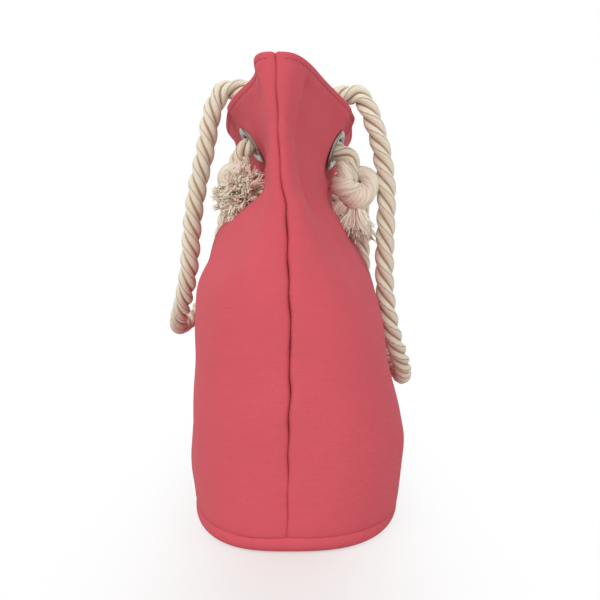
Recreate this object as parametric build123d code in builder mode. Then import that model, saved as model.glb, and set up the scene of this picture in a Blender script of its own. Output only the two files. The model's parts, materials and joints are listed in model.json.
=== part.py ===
"""Canvas beach tote with two knotted rope handles.

Millimetres, +Z up.  The origin is on the floor under the middle of the bag.
X runs along the width of the bag, from side seam to side seam.
The front panel is on the -Y side and the back panel on the +Y side.
"""

import os
from math import ceil, cos, hypot, pi, radians, sin, tan

from build123d import *

os.makedirs("parts", exist_ok=True)

# ---------------------------------------------------------------- driving dimensions

# heights above the floor
base_lip_height = 11  # seam between the base and the panels
belly_rise = 75  # from the floor, then each from the one before
middle_rise = 75
upper_rise = 50
shoulder_rise = 40
slope_rise = 26
neck_rise = 20
fold_rise = 35
hem_rise = 48  # height of the doubled hem, which flares outward

# half width at the side seams
base_half_width = 204
belly_half_width = 206
middle_half_width = 208
upper_half_width = 211
shoulder_half_width = 214
slope_half_width = 217
neck_half_width = 220
fold_half_width = 225
rim_half_width = 235

# how far the front panel stands out from the side seams, mid-width
front_base_reach = 91
front_belly_reach = 99
front_middle_reach = 93
front_upper_reach = 93
front_shoulder_reach = 82
front_slope_reach = 74
front_neck_reach = 31
front_fold_reach = 26
front_rim_reach = 66

# and the same for the back panel
back_base_reach = 103
back_belly_reach = 112
back_middle_reach = 97
back_upper_reach = 86
back_shoulder_reach = 75
back_slope_reach = 60
back_neck_reach = 42
back_fold_reach = 42
back_rim_reach = 64

# the pinched ends of the mouth
fold_end_reach = 12
rim_end_reach = 22
seam_y = -6  # plane of the two side seams
body_squareness = 2.8  # exponent of the rounded plan of the body
end_squareness = 16  # and of the blunt ends of the pinched plan
mouth_flatness = 4  # exponents of its bulge: how flat the middle is
mouth_falloff = 3.6  # and how soon it falls off towards the ends
longest_loft_step = 10  # between two sections of a panel

# cloth
canvas = 1.6
facing_canvas = 1.4
ply_gap = 0.3  # between two layers of cloth
tape_half_width = 7
tape_thickness = 1.0
tape_start = 24  # lower end of the side seam tapes
tape_end_gap = 4  # from their upper end to the hem facing
base_edge_radius = 8
binding_height = 12  # tape round the inside of the base seam
binding_start = 9

# rope and eyelets
rope_diameter = 18
eyelet_spacing = 210
eyelet_drop = 41  # from the rim down to the eyelet's centre, along the hem
bore_radius = 11.2
barrel_wall = 0.8
flange_radius = 18.5
flange_dome = 2.1
flange_edge = 0.6
seat_fit = 0.3  # round a flange or washer pressed into the cloth
washer_thickness = 0.8
washer_fit = 0.1
lip_reach = 1.6
lip_depth = 1.1

# where the rope runs through an eyelet and over the rim
neck_out = 16  # rope's centre outside the hem, measured from the hem's face
tuck_depth = 15  # rope's centre inside the hem
neck_length = 15  # from the bend at the eyelet down to the knot
front_pivot_out = 4  # rope's centre over the rim, outward from the rim
back_pivot_out = 8
front_pivot_rise = 17  # and up from it
back_pivot_rise = 13
pivot_lead = 26  # straight run of the rope up to the pivot
pivot_slope = 5  # degrees that run rises
joint_gap = 0.3  # between the ball end of the loop and the tucked rope

# the rope's stopper knots and frayed ends
knot_wrap_radius = 12.5
knot_wrap_thickness = 9.2
knot_turn_radius = 11.5
knot_turn_thickness = 8.6
knot_core_radius = 12
knot_wrap_lift = 2  # of the wrap's ring above the knot's centre
knot_wrap_tilt = 80  # degrees from lying flat
knot_wrap_twist = 12  # degrees towards the bag's end
knot_turn_lift = -3
knot_turn_tilt = 35  # degrees from lying flat
knot_turn_roll = 10
front_fray_droop = 0.15  # fall of the front frayed ends along their length
knot_drop = 16  # from the neck down to the knot's centre, and on to the fray
knot_shift = 5  # knot's centre outward of the neck
front_fray_length = 36
back_fray_length = 27
front_fray_radius = 18
back_fray_radius = 10
back_fray_lean = 14  # degrees outward from straight down

# ---------------------------------------------------------------- shape of the bag

FRONT, BACK = -1, 1
rope_radius = rope_diameter / 2

rises = [belly_rise, middle_rise, upper_rise, shoulder_rise, slope_rise, neck_rise, fold_rise]
levels = [sum(rises[:count]) for count in range(len(rises) + 1)]
fold_height = levels[-1]
rim_height = fold_height + hem_rise
half_widths = [base_half_width, belly_half_width, middle_half_width, upper_half_width,
               shoulder_half_width, slope_half_width, neck_half_width, fold_half_width]
reaches = {
    FRONT: [front_base_reach, front_belly_reach, front_middle_reach, front_upper_reach,
            front_shoulder_reach, front_slope_reach, front_neck_reach, front_fold_reach],
    BACK: [back_base_reach, back_belly_reach, back_middle_reach, back_upper_reach,
           back_shoulder_reach, back_slope_reach, back_neck_reach, back_fold_reach],
}
rim_reaches = {FRONT: front_rim_reach, BACK: back_rim_reach}
pivot_offsets = {
    FRONT: (front_pivot_out, front_pivot_rise),
    BACK: (back_pivot_out, back_pivot_rise),
}
pinches = [0, 0, 0, 0.12, 0.42, 0.65, 0.9, 1]  # 0 rounded plan, 1 pinched plan
hollows = [0, 0.04, 0.10, 0.11, 0.07, 0.02, 0, 0]  # how far each face sinks in mid-width


def smooth(values, height):
    """Value at a height between the levels, without overshoot."""
    steps = [b - a for a, b in zip(levels, levels[1:])]
    slopes = [(b - a) / s for a, b, s in zip(values, values[1:], steps)]
    tangents = [slopes[0]]
    for before, after in zip(slopes, slopes[1:]):
        same_way = before * after > 0
        tangents.append(2 * before * after / (before + after) if same_way else 0)
    tangents.append(0)
    index = 0
    while index < len(steps) - 1 and height > levels[index + 1]:
        index += 1
    s = (height - levels[index]) / steps[index]
    return (
        values[index] * (1 + 2 * s) * (1 - s) ** 2
        + values[index + 1] * s * s * (3 - 2 * s)
        + tangents[index] * steps[index] * s * (1 - s) ** 2
        - tangents[index + 1] * steps[index] * s * s * (1 - s)
    )


def at_height(values, rim_value, height):
    """Below the fold a smooth curve, above it the straight flare of the hem."""
    if height <= fold_height:
        return smooth(values, height)
    share = (height - fold_height) / hem_rise
    return values[-1] + (rim_value - values[-1]) * share


def half_width(height):
    return at_height(half_widths, rim_half_width, height)


def reach(side, x, height):
    """Distance of the outer face of a panel from the seam plane."""
    middle = at_height(reaches[side], rim_reaches[side], height)
    end = at_height([fold_end_reach] * len(levels), rim_end_reach, height)
    pinch = at_height(pinches, 1, height)
    across = min(abs(x) / half_width(height), 1)
    sunk = 1 - at_height(hollows, 0, height) * (1 - across**2) ** 2
    rounded = middle * sunk * (1 - across**body_squareness) ** (1 / body_squareness)
    blunt_end = end * (1 - across**end_squareness) ** (1 / 3)
    pinched = blunt_end + (middle - end) * (1 - across**mouth_flatness) ** mouth_falloff
    return rounded * (1 - pinch) + pinched * pinch


def outer_point(side, turn, height):
    """Point of the outer face; turn runs from -90 at the left seam to 90 at the right."""
    share = abs(sin(radians(turn))) ** (2 / body_squareness)
    x = half_width(height) * share * (1 if turn > 0 else -1)
    return x, seam_y + side * reach(side, x, height)


def inset_point(side, turn, height, inset):
    """The same point moved into the bag by a thickness measured square to the cloth."""
    step = 0.5
    x, y = outer_point(side, turn, height)
    ax, ay = outer_point(side, turn - step, height)
    bx, by = outer_point(side, turn + step, height)
    length = hypot(bx - ax, by - ay)
    nx, ny = (ay - by) / length * side, (bx - ax) / length * side
    below = max(height - step, 0)
    above = min(height + step, rim_height)
    lx, ly = outer_point(side, turn, below)
    hx, hy = outer_point(side, turn, above)
    slope = ((hx - lx) * nx + (hy - ly) * ny) / (above - below)
    moved = inset * hypot(1, slope)
    return x - nx * moved, y - ny * moved


def face_points(side, height, inset):
    """Plan curve of a panel's face, from the left seam to the right seam."""
    turns = [-86] + [-81 + 9 * i for i in range(19)] + [86]
    middle = [inset_point(side, turn, height, inset) for turn in turns]
    edge = half_width(height) - inset
    return [(-edge, seam_y)] + middle + [(edge, seam_y)]


def cloth_section(side, height, outer_inset, inner_inset):
    """Cut through one layer of cloth at a height."""
    outer = face_points(side, height, outer_inset)
    inner = face_points(side, height, inner_inset)
    with BuildSketch(Plane.XY.offset(height)) as section:
        with BuildLine():
            Spline(*outer)
            Spline(*inner)
            Line(outer[0], inner[0])
            Line(outer[-1], inner[-1])
        make_face()
    return section.sketch


def rim_point(side, x):
    """Outer edge of the rim at a place along the width."""
    return seam_y + side * reach(side, x, rim_height)


def hem_frame(side, x):
    """Eyelet centre on the hem, and the unit directions up the hem and out of it."""
    low_y = seam_y + side * reach(side, x, fold_height)
    high_y = rim_point(side, x)
    slant = hypot(high_y - low_y, hem_rise)
    up_y, up_z = (high_y - low_y) / slant, hem_rise / slant
    centre_y = high_y - up_y * eyelet_drop
    centre_z = rim_height - up_z * eyelet_drop
    ahead = seam_y + side * reach(side, x + 1, centre_z)
    behind = seam_y + side * reach(side, x - 1, centre_z)
    along = Vector(2, ahead - behind, 0).normalized()
    up = Vector(0, up_y, up_z)
    out = along.cross(up).normalized()
    if out.Y * side < 0:
        out = out * -1
    return Vector(x, centre_y, centre_z), up, out


ABOVE = (Align.CENTER, Align.CENTER, Align.MIN)
BELOW = (Align.CENTER, Align.CENTER, Align.MAX)
barrel_radius = bore_radius + barrel_wall
hole_depth = 30  # deeper than the hem is thick
hem_stack = canvas + ply_gap + facing_canvas
barrel_depth = hem_stack + washer_thickness + lip_depth
corners = {
    "front_left": (FRONT, -eyelet_spacing / 2),
    "front_right": (FRONT, eyelet_spacing / 2),
    "back_left": (BACK, -eyelet_spacing / 2),
    "back_right": (BACK, eyelet_spacing / 2),
}
frames = {name: hem_frame(side, x) for name, (side, x) in corners.items()}


def eyelet_plane(name):
    centre, up, out = frames[name]
    return Plane(origin=centre, x_dir=up.cross(out), z_dir=out)


# ---------------------------------------------------------------- cloth pieces

body_levels = [base_lip_height]
for above in levels[1:]:
    below = body_levels[-1]
    parts = ceil((above - below) / longest_loft_step)
    body_levels += [below + (above - below) * (i + 1) / parts for i in range(parts)]


def save(part, name):
    part.label = name
    export_step(part, f"parts/{name}.step")


panels = {FRONT: "front", BACK: "back"}
for side, word in panels.items():
    own_corners = [name for name in corners if name.startswith(word)]
    body_cuts = [cloth_section(side, height, 0, canvas) for height in body_levels]
    hem_cuts = [cloth_section(side, height, 0, canvas) for height in (fold_height, rim_height)]
    with BuildPart() as panel:
        loft(sections=body_cuts)
        loft(sections=hem_cuts, ruled=True)
        for name in own_corners:
            with Locations(eyelet_plane(name).location):
                Cylinder(barrel_radius + washer_fit, hole_depth, mode=Mode.SUBTRACT)
                Cylinder(flange_radius + seat_fit, hole_depth, mode=Mode.SUBTRACT, align=ABOVE)
    save(panel.part, f"{word}_panel")

    inner_start = canvas + ply_gap
    facing_cuts = [cloth_section(side, height, inner_start, hem_stack)
                   for height in (fold_height, rim_height)]
    with BuildPart() as facing:
        loft(sections=facing_cuts, ruled=True)
        for name in own_corners:
            with Locations(eyelet_plane(name).location):
                Cylinder(barrel_radius + washer_fit, hole_depth, mode=Mode.SUBTRACT)
            with Locations(eyelet_plane(name).offset(-hem_stack).location):
                Cylinder(flange_radius + seat_fit, hole_depth, mode=Mode.SUBTRACT, align=BELOW)
    save(facing.part, f"{word}_hem_facing")


def plan_outline(height, inset):
    """Closed plan curve of the whole bag at a height."""
    front = face_points(FRONT, height, inset)
    back = face_points(BACK, height, inset)
    return front + back[-2:0:-1]


def plan_sketch(height, inset, shape_height):
    with BuildSketch(Plane.XY.offset(height)) as plan:
        with BuildLine():
            Spline(*plan_outline(shape_height, inset), periodic=True)
        make_face()
    return plan.sketch


base_outline = plan_sketch(0, 0, base_lip_height)
base_hollow = plan_sketch(canvas, canvas, base_lip_height)
with BuildPart() as base_inside:
    extrude(base_hollow, amount=base_lip_height)
    lowest = base_inside.faces().sort_by(Axis.Z)[0]
    fillet(lowest.edges(), base_edge_radius - canvas)

with BuildPart() as base_panel:
    extrude(base_outline, amount=base_lip_height)
    lowest = base_panel.faces().sort_by(Axis.Z)[0]
    fillet(lowest.edges(), base_edge_radius)
    add(base_inside.part, mode=Mode.SUBTRACT)
save(base_panel.part, "base_panel")

binding_outside = plan_sketch(binding_start, canvas + ply_gap, base_lip_height)
binding_inside = plan_sketch(binding_start, canvas + ply_gap + tape_thickness, base_lip_height)
with BuildPart() as base_binding:
    extrude(binding_outside, amount=binding_height)
    extrude(binding_inside, amount=binding_height, mode=Mode.SUBTRACT)
save(base_binding.part, "base_seam_binding")


def turn_near_seam(side, height, distance):
    """Turn at which the face of a panel is a distance from the seam plane."""
    low, high = 45.0, 90.0
    for _ in range(30):
        middle = (low + high) / 2
        x, y = outer_point(side, middle, height)
        if abs(y - seam_y) > distance:
            low = middle
        else:
            high = middle
    return low


def tape_section(hand, height):
    """Cut through the tape over a side seam; hand is -1 at the left seam, 1 at the right."""
    curves = []
    tape_face = canvas + 2 * ply_gap
    for inset in (tape_face, tape_face + tape_thickness):
        edge = hand * (half_width(height) - inset)
        points = [(edge, seam_y)]
        for side in (FRONT, BACK):
            for distance in (tape_half_width / 2, tape_half_width):
                turn = hand * turn_near_seam(side, height, distance)
                point = inset_point(side, turn, height, inset)
                points = [point] + points if side == FRONT else points + [point]
        curves.append(points)
    outer, inner = curves
    with BuildSketch(Plane.XY.offset(height)) as section:
        with BuildLine():
            Spline(*outer)
            Spline(*inner)
            Line(outer[0], inner[0])
            Line(outer[-1], inner[-1])
        make_face()
    return section.sketch


tape_end = fold_height - tape_end_gap
tape_levels = [tape_start] + [h for h in body_levels if tape_start < h < tape_end] + [tape_end]
for hand, word in ((-1, "left"), (1, "right")):
    with BuildPart() as seam_tape:
        loft(sections=[tape_section(hand, height) for height in tape_levels])
    save(seam_tape.part, f"{word}_seam_tape")

# ---------------------------------------------------------------- eyelets

dome_radius = (bore_radius + flange_radius) / 2
with BuildPart() as eyelet:
    with BuildSketch(Plane.XZ):
        with BuildLine():
            ThreePointArc((flange_radius, flange_edge), (dome_radius, flange_dome), (bore_radius, flange_edge))
            Polyline(
                (bore_radius, flange_edge),
                (bore_radius, -barrel_depth),
                (barrel_radius + lip_reach, -barrel_depth),
                (barrel_radius + lip_reach, lip_depth - barrel_depth),
                (barrel_radius, lip_depth - barrel_depth),
                (barrel_radius, 0),
                (flange_radius, 0),
                (flange_radius, flange_edge),
            )
        make_face()
    revolve(axis=Axis.Z)

with BuildPart() as washer:
    with BuildSketch(Plane.XY.offset(-hem_stack - washer_thickness)):
        Circle(flange_radius)
        Circle(barrel_radius + washer_fit, mode=Mode.SUBTRACT)
    extrude(amount=washer_thickness)

for name in corners:
    place = eyelet_plane(name).location
    save(place * eyelet.part, f"eyelet_{name}")
    save(place * washer.part, f"washer_{name}")

# ---------------------------------------------------------------- ropes


def bend_radii(points):
    """Largest even bends that the runs on both sides of each corner allow."""
    radii = []
    for before, corner, after in zip(points, points[1:], points[2:]):
        first = Vector(*corner) - Vector(*before)
        second = Vector(*after) - Vector(*corner)
        turn = radians(first.get_angle(second))
        radii.append(0.45 * min(first.length, second.length) / tan(turn / 2))
    return radii


def rope_tube(name, points):
    """Plain tube of rope along straight runs and tangent bends."""
    radii = bend_radii(points)
    with BuildLine() as line:
        FilletPolyline(*points, radius=radii)
    route = line.wires()[0]
    with BuildPart() as tube:
        with BuildSketch(Plane(origin=route @ 0, z_dir=route % 0)):
            Circle(rope_radius)
        sweep(path=route)
    ideal = pi * rope_radius**2 * route.length
    print(name, "length", round(route.length), "volume ratio", round(tube.part.volume / ideal, 4))
    print("  bend radii", [round(radius) for radius in radii])
    return tube.part


def pivot_of(name):
    """Centre of the rope over the rim, where the hanging loop turns."""
    side, x = corners[name]
    out, rise = pivot_offsets[side]
    return Vector(x, rim_point(side, x) + side * out, rim_height + rise)


def tuck_points(name):
    """Route from the knot, in through the eyelet, up inside the hem and over the rim."""
    side, x = corners[name]
    centre, up, _ = frames[name]
    out = Vector(0, side * up.Z, -side * up.Y)
    outside = centre + out * neck_out
    inside = centre - out * tuck_depth
    pivot = pivot_of(name)
    heading = Vector(0, side * cos(radians(pivot_slope)), sin(radians(pivot_slope)))
    lead = pivot - heading * pivot_lead
    end = pivot - heading * (rope_radius + joint_gap)
    neck = outside - Vector(0, 0, neck_length)
    return [neck, outside, inside, lead, end]


# each hanging loop, from its right pivot round to its left one:
# along the width, outward and up from the right pivot
front_loop = [
    (-1, 9.5, -20), (-1, 13.5, -50), (-2, 22, -86), (-6, 28, -122), (-14, 31, -157),
    (-29, 39, -189), (-61, 52, -214), (-105, 60, -224), (-149, 53, -215), (-181, 41, -190),
    (-196, 32, -157), (-203, 28, -122), (-207, 22, -86), (-209, 13.5, -50), (-209, 9.5, -20),
]
back_loop = [
    (-1, 9.5, -20), (-1, 18, -48), (-2, 23.5, -84), (-4, 22.5, -122), (-8, 21.5, -158),
    (-14, 24, -193), (-24, 32, -225), (-45, 44, -251), (-74, 51, -267), (-106, 54, -273),
    (-139, 51, -266), (-167, 44, -249), (-187, 34, -222), (-198, 26.5, -190), (-204, 22.5, -156),
    (-207, 22.5, -120), (-208, 23.5, -84), (-209, 18, -48), (-209, 9.5, -20),
]


def loop_points(side, offsets):
    word = panels[side]
    right = pivot_of(f"{word}_right")
    left = pivot_of(f"{word}_left")
    middle = [right + Vector(x, side * out, up) for x, out, up in offsets]
    return [right] + middle + [left]


for side, offsets in ((FRONT, front_loop), (BACK, back_loop)):
    word = panels[side]
    points = loop_points(side, offsets)
    tube = rope_tube(f"{word}_handle_rope", points)
    with BuildPart() as handle:
        add(tube)
        with Locations(points[0], points[-1]):
            Sphere(rope_radius)
    save(handle.part, f"{word}_handle_rope")

for name, (side, x) in corners.items():
    points = tuck_points(name)
    tucked_rope = rope_tube(f"tucked_rope_{name}", points)
    save(tucked_rope, f"tucked_rope_{name}")
    neck = points[0]
    knot_centre = neck + Vector(0, side * knot_shift, -knot_drop)
    wrap_centre = knot_centre + Vector(0, 0, knot_wrap_lift)
    turn_centre = knot_centre + Vector(0, side, knot_turn_lift)
    outward = 1 if x > 0 else -1
    if side == FRONT:
        fray_axis = Vector(outward, 0, -front_fray_droop).normalized()
        fray_radius = front_fray_radius
        fray_length = front_fray_length
    else:
        lean = radians(back_fray_lean)
        fray_axis = Vector(0, side * sin(lean), -cos(lean))
        fray_radius = back_fray_radius
        fray_length = back_fray_length
    neck_plane = Plane(origin=neck, z_dir=(0, 0, -1))
    fray_plane = Plane(origin=knot_centre + fray_axis * knot_drop, z_dir=fray_axis)
    with BuildPart() as fray:
        with BuildSketch(Plane.XZ):
            with BuildLine():
                Polyline((0, fray_length), (0, 0), (rope_radius, 0))
                Spline(
                    (rope_radius, 0),
                    (fray_radius, 0.6 * fray_length),
                    (0.7 * fray_radius, 0.93 * fray_length),
                    (0, fray_length),
                )
            make_face()
        revolve(axis=Axis.Z)
    frayed_end = fray_plane.location * fray.part
    save(frayed_end, f"frayed_end_{name}")

    with BuildPart() as knot:
        with BuildSketch(neck_plane):
            Circle(rope_radius)
        extrude(amount=knot_drop)
        with BuildSketch(fray_plane):
            Circle(rope_radius)
        extrude(amount=-knot_drop)
        with Locations(knot_centre):
            Sphere(knot_core_radius)
        with Locations(Location(wrap_centre, (0, knot_wrap_tilt, knot_wrap_twist * outward))):
            Torus(knot_wrap_radius, knot_wrap_thickness)
        with Locations(Location(turn_centre, (knot_turn_tilt, knot_turn_roll, 0))):
            Torus(knot_turn_radius, knot_turn_thickness)
        add(tucked_rope, mode=Mode.SUBTRACT)
        add(frayed_end, mode=Mode.SUBTRACT)
    save(knot.part, f"knot_{name}")
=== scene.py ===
"""Looks of the canvas beach tote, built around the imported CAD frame.

Metres, +Z up.  X runs along the width of the bag, from side seam to side seam.
The front panel is on the -Y side and the back panel on the +Y side.
"""

import json
import math
import random

import bpy
import numpy as np
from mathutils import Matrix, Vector, noise


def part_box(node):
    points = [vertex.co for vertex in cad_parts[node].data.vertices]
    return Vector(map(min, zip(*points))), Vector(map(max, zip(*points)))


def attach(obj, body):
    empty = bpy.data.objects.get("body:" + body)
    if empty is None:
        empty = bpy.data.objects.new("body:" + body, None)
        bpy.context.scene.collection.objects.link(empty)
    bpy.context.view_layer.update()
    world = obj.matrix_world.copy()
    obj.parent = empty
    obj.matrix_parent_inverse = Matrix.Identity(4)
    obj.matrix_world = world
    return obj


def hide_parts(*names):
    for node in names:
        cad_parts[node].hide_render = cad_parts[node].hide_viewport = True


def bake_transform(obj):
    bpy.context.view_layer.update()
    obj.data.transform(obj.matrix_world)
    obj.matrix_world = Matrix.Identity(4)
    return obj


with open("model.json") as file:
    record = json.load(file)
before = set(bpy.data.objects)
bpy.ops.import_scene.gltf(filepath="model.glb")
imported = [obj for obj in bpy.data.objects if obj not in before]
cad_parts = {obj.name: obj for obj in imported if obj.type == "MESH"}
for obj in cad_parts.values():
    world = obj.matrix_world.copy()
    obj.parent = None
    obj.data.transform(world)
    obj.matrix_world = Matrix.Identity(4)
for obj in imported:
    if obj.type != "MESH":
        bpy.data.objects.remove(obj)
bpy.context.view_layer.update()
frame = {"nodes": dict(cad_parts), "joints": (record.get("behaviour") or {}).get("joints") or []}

FRONT, BACK = -1, 1
SIDES = {FRONT: "front", BACK: "back"}
HANDS = {1: "right", -1: "left"}
rng = random.Random(11)

# ---------------------------------------------------------------- sizes

seam_z = 0.011  # seam between the base and the panels
fold_z = 0.321  # where the hem starts to flare
rim_z = 0.369
hem_rise = rim_z - fold_z
seam_y = -0.006
canvas = 0.0016
facing_canvas = 0.0014
ply_gap = 0.0003
body_squareness = 2.8
end_squareness = 16
mouth_flatness = 4
mouth_falloff = 3.6

# the bag's shape at each height, as in the CAD but a little slimmer in the shoulders
levels = np.array([0, 0.075, 0.150, 0.200, 0.240, 0.266, 0.286, fold_z])
half_widths = [0.204, 0.206, 0.208, 0.211, 0.214, 0.217, 0.220, 0.225]
rim_half_width = 0.235
reaches = {
    FRONT: [0.091, 0.099, 0.094, 0.094, 0.081, 0.068, 0.030, 0.026],
    BACK: [0.103, 0.112, 0.098, 0.087, 0.067, 0.051, 0.038, 0.040],
}
rim_reaches = {FRONT: 0.066, BACK: 0.064}
pinches = [0, 0, 0, 0.13, 0.48, 0.72, 0.93, 1]  # 0 rounded plan, 1 pinched plan
hollows = [0, 0.04, 0.10, 0.11, 0.07, 0.02, 0, 0]  # how far each face sinks in mid-width
fold_end_reach = 0.012
rim_end_reach = 0.022

# eyelets and rope
eyelet_x = 0.105
eyelet_drop = 0.041  # from the rim down to the eyelet's centre, along the hem
hole_radius = 0.0132  # cut in the cloth, hidden under the flange
rope_diameter = 0.018
rope_lay = 2.95 * rope_diameter  # one whole turn of a strand
tape_reach = 0.0085  # of the side seam's tape, on either side of the seam
tape_cloth_thickness = 0.0008
base_edge_radius = 0.006

# ---------------------------------------------------------------- materials


class Nodes:
    """Short calls for building a material's node tree."""

    def __init__(self, name):
        self.material = bpy.data.materials.new(name)
        self.material.use_nodes = True
        self.tree = self.material.node_tree
        self.shader = self.tree.nodes["Principled BSDF"]

    def add(self, kind, **values):
        node = self.tree.nodes.new("ShaderNode" + kind)
        for key, value in values.items():
            if hasattr(node, key):
                setattr(node, key, value)
            else:
                node.inputs[key.replace("_", " ").title()].default_value = value
        return node

    def link(self, out, into):
        self.tree.links.new(out, into)

    def ramp(self, factor, stops):
        """Colour ramp over a factor; stops are (place, colour)."""
        node = self.add("ValToRGB")
        elements = node.color_ramp.elements
        while len(elements) < len(stops):
            elements.new(0.5)
        for element, (place, colour) in zip(elements, stops):
            element.position = place
            element.color = (*colour, 1)
        self.link(factor, node.inputs["Fac"])
        return node.outputs["Color"]

    def math(self, operation, first, second):
        node = self.add("Math", operation=operation)
        for socket, value in zip(node.inputs, (first, second)):
            if isinstance(value, (int, float)):
                socket.default_value = value
            else:
                self.link(value, socket)
        return node.outputs["Value"]

    def multiply(self, first, second):
        node = self.add("VectorMath", operation="MULTIPLY")
        self.link(first, node.inputs[0])
        self.link(second, node.inputs[1])
        return node.outputs["Vector"]

    def bump(self, height, strength, distance, normal=None):
        node = self.add("Bump")
        node.inputs["Strength"].default_value = strength
        node.inputs["Distance"].default_value = distance
        self.link(height, node.inputs["Height"])
        if normal is not None:
            self.link(normal, node.inputs["Normal"])
        return node.outputs["Normal"]


def shade(colour, factor):
    return tuple(c * factor for c in colour)


def canvas_material(name, colour, thread=0.0009):
    """Plain woven cotton canvas; the cloth's UV is in metres along warp and weft."""
    n = Nodes(name)
    uv = n.add("TexCoord").outputs["UV"]
    bands = []
    for direction in ("X", "Y"):
        wave = n.add("TexWave", bands_direction=direction, wave_profile="SIN")
        wave.inputs["Scale"].default_value = 0.314 / thread / 2
        wave.inputs["Distortion"].default_value = 1.2
        wave.inputs["Detail"].default_value = 1
        wave.inputs["Detail Scale"].default_value = 0.02
        n.link(uv, wave.inputs["Vector"])
        bands.append(wave.outputs["Fac"])
    weave = n.math("MULTIPLY", bands[0], bands[1])
    slub_map = n.add("Mapping")
    slub_map.inputs["Scale"].default_value = (40, 900, 1)
    n.link(uv, slub_map.inputs["Vector"])
    slubs = n.add("TexNoise")
    slubs.inputs["Scale"].default_value = 1
    slubs.inputs["Detail"].default_value = 3
    n.link(slub_map.outputs["Vector"], slubs.inputs["Vector"])
    mottle = n.add("TexNoise")
    mottle.inputs["Scale"].default_value = 14
    mottle.inputs["Detail"].default_value = 4
    n.link(n.add("TexCoord").outputs["Object"], mottle.inputs["Vector"])
    tone = n.math("ADD", n.math("MULTIPLY", slubs.outputs["Fac"], 0.5),
                  n.math("MULTIPLY", mottle.outputs["Fac"], 0.5))
    colours = n.ramp(tone, [(0.3, shade(colour, 0.93)), (0.5, colour), (0.72, shade(colour, 1.07))])
    n.link(colours, n.shader.inputs["Base Color"])
    rough = n.add("MapRange")
    rough.inputs["To Min"].default_value = 0.78
    rough.inputs["To Max"].default_value = 0.92
    n.link(slubs.outputs["Fac"], rough.inputs["Value"])
    n.link(rough.outputs["Result"], n.shader.inputs["Roughness"])
    normal = n.bump(slubs.outputs["Fac"], 0.25, 0.0004)
    n.link(n.bump(weave, 0.35, 0.0003, normal), n.shader.inputs["Normal"])
    n.shader.inputs["Sheen Weight"].default_value = 0.06
    n.shader.inputs["Sheen Roughness"].default_value = 0.5
    n.shader.inputs["Sheen Tint"].default_value = (1, 0.72, 0.74, 1)
    n.shader.inputs["Specular IOR Level"].default_value = 0.2
    return n.material


def cotton_material(name, light, dark, yarns, laid=False):
    """Twisted cotton; UV u goes round a strand and v along it, in turns of its girth.

    With laid set, painted shade darkens each strand towards the grooves where the strands press
    together, away from u = 0.
    """
    n = Nodes(name)
    uv = n.add("TexCoord").outputs["UV"]
    place = n.add("Mapping")
    place.inputs["Rotation"].default_value = (0, 0, math.radians(-32))
    n.link(uv, place.inputs["Vector"])
    wave = n.add("TexWave", bands_direction="X", wave_profile="SIN")
    wave.inputs["Scale"].default_value = 0.314 * yarns
    wave.inputs["Distortion"].default_value = 2.5
    wave.inputs["Detail"].default_value = 2
    wave.inputs["Detail Scale"].default_value = 1.5
    n.link(place.outputs["Vector"], wave.inputs["Vector"])
    fibre_place = n.add("Mapping")
    fibre_place.inputs["Scale"].default_value = (60, 5, 1)
    n.link(place.outputs["Vector"], fibre_place.inputs["Vector"])
    fibres = n.add("TexNoise")
    fibres.inputs["Scale"].default_value = 1
    fibres.inputs["Detail"].default_value = 4
    n.link(fibre_place.outputs["Vector"], fibres.inputs["Vector"])
    tone = n.math("ADD", n.math("MULTIPLY", wave.outputs["Fac"], 0.4),
                  n.math("MULTIPLY", fibres.outputs["Fac"], 0.6))
    colours = n.ramp(tone, [(0.18, dark), (0.5, light), (0.85, shade(light, 1.06))])
    if laid:
        # painted shade: each strand darkens from its crown at u = 0 towards the grooves between
        # strands
        split = n.add("SeparateXYZ")
        n.link(uv, split.inputs["Vector"])
        crown = n.math("COSINE", n.math("MULTIPLY", split.outputs["X"], 2 * math.pi), 0)
        shadow = n.ramp(n.math("MULTIPLY", n.math("ADD", crown, 1), 0.5),
                        [(0.42, (0.60, 0.53, 0.43)), (0.60, (1, 1, 1))])
        colours = n.multiply(colours, shadow)
    n.link(colours, n.shader.inputs["Base Color"])
    normal = n.bump(wave.outputs["Fac"], 0.5, 0.0006)
    n.link(n.bump(fibres.outputs["Fac"], 0.45, 0.0004, normal), n.shader.inputs["Normal"])
    n.shader.inputs["Roughness"].default_value = 0.88
    n.shader.inputs["Specular IOR Level"].default_value = 0.2
    n.shader.inputs["Sheen Weight"].default_value = 0.15
    n.shader.inputs["Sheen Roughness"].default_value = 0.6
    return n.material


def metal_material(name, colour):
    """Pressed and plated eyelet, lightly scratched."""
    n = Nodes(name)
    scratches = n.add("TexNoise")
    scratches.inputs["Scale"].default_value = 900
    scratches.inputs["Detail"].default_value = 3
    n.link(n.add("TexCoord").outputs["Object"], scratches.inputs["Vector"])
    rough = n.add("MapRange")
    rough.inputs["To Min"].default_value = 0.22
    rough.inputs["To Max"].default_value = 0.42
    n.link(scratches.outputs["Fac"], rough.inputs["Value"])
    n.link(rough.outputs["Result"], n.shader.inputs["Roughness"])
    n.link(n.ramp(scratches.outputs["Fac"], [(0.3, shade(colour, 0.9)), (0.7, colour)]),
           n.shader.inputs["Base Color"])
    n.shader.inputs["Metallic"].default_value = 1
    return n.material


coral = (0.580, 0.088, 0.114)
coral_canvas = canvas_material("coral_canvas", coral)
tape_cloth = canvas_material("tape_cloth", shade(coral, 0.86), 0.0006)
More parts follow.
